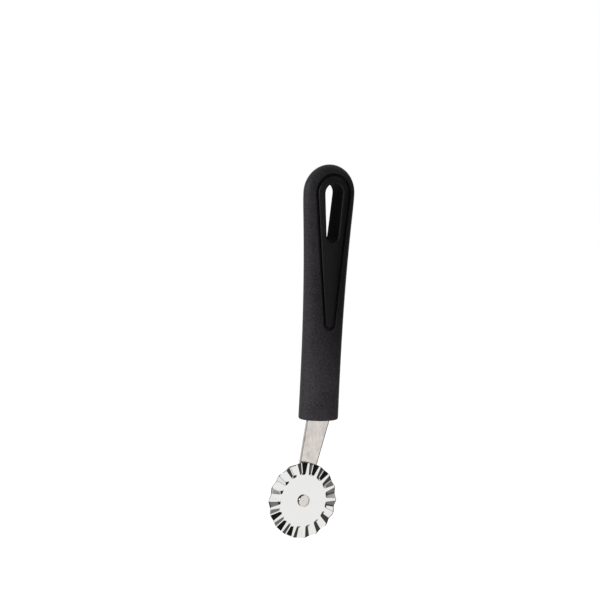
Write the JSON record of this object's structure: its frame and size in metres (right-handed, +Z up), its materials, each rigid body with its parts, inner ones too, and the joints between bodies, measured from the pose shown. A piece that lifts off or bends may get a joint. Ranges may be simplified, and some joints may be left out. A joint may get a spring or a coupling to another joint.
{
  "type": "dough cutter",
  "caption": "Fluted pastry wheel spinning on a leaning steel neck, with a rounded plastic handle and a teardrop hanging slot.",
  "frame": {"origin": "centre of the hanging slot's upper arc, halfway through the handle", "axes": "+Z up along the handle as the tool hangs, +X to the right of someone facing the wheel, -Y out of the wheel's front"},
  "size_m": [0.0427, 0.0174, 0.1915],
  "materials": {
    "grip_plastic": "charcoal black, fine moulded grain, matte",
    "core_plastic": "charcoal black, smoother than the grip",
    "satin_steel": "satin rolled stainless sheet with sheared edges",
    "rivet_steel": "satin turned stainless",
    "polished_steel": "mirror polished stainless sheet"
  },
  "bodies": {
    "handle": {"handle_grip": "grip_plastic", "handle_core": "core_plastic", "neck_strap": "satin_steel", "axle_rivet": "rivet_steel", "spacer_washer": "rivet_steel"},
    "wheel": {"fluted_wheel": "polished_steel"}
  },
  "joints": [
    {"name": "wheel_spin", "type": "hinge", "parent": "handle", "child": "wheel", "pos_m": [-0.00861, -0.0025, -0.1574], "axis": [0, -1, 0], "continuous": true}
  ]
}
